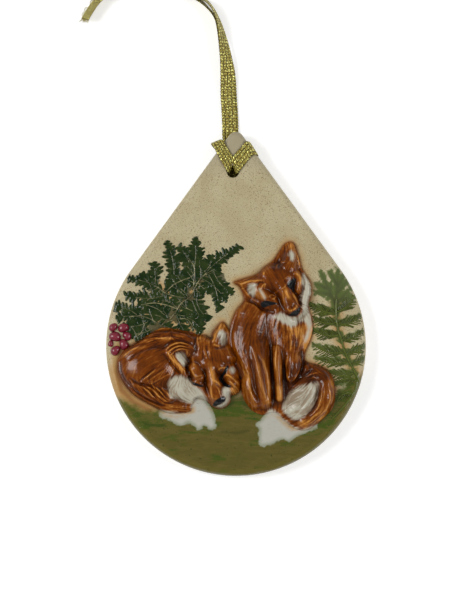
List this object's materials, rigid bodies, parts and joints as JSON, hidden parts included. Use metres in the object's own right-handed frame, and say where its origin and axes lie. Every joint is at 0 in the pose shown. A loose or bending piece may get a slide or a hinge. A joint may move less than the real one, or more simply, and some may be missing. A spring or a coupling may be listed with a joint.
{
  "type": "fox hanging ornament",
  "caption": "Teardrop stoneware hanging ornament with a sitting and a sleeping fox in relief, evergreen sprigs, berries and a gold ribbon loop.",
  "frame": {"origin": "middle of the plaque's length and width, on the plane that its back lies on", "axes": "+Z out of the decorated face, +Y towards the drilled tip, +X to the right as the face is seen"},
  "size_m": [0.0804, 0.139, 0.0102],
  "materials": {
    "stoneware": "matte",
    "amber_glaze": "gloss",
    "green_slip": "gloss",
    "red_slip": "gloss",
    "gold_ribbon": "metallic weave"
  },
  "bodies": {
    "plaque": {"plaque": "stoneware", "sitting_fox": "amber_glaze", "sleeping_fox": "amber_glaze", "evergreen_left": "green_slip", "evergreen_right": "green_slip", "berries": "red_slip", "ribbon_hitch": "gold_ribbon"},
    "ribbon_loop": {"ribbon_strand_upper": "gold_ribbon", "ribbon_strand_lower": "gold_ribbon", "ribbon_knot": "gold_ribbon", "ribbon_tail_near": "gold_ribbon", "ribbon_tail_far": "gold_ribbon"}
  },
  "joints": [
    {"name": "ribbon_swing", "type": "hinge", "parent": "plaque", "child": "ribbon_loop", "pos_m": [0, 0.0477, 0.00076], "axis": [1, 0, 0], "range_deg": [0, 90]}
  ]
}
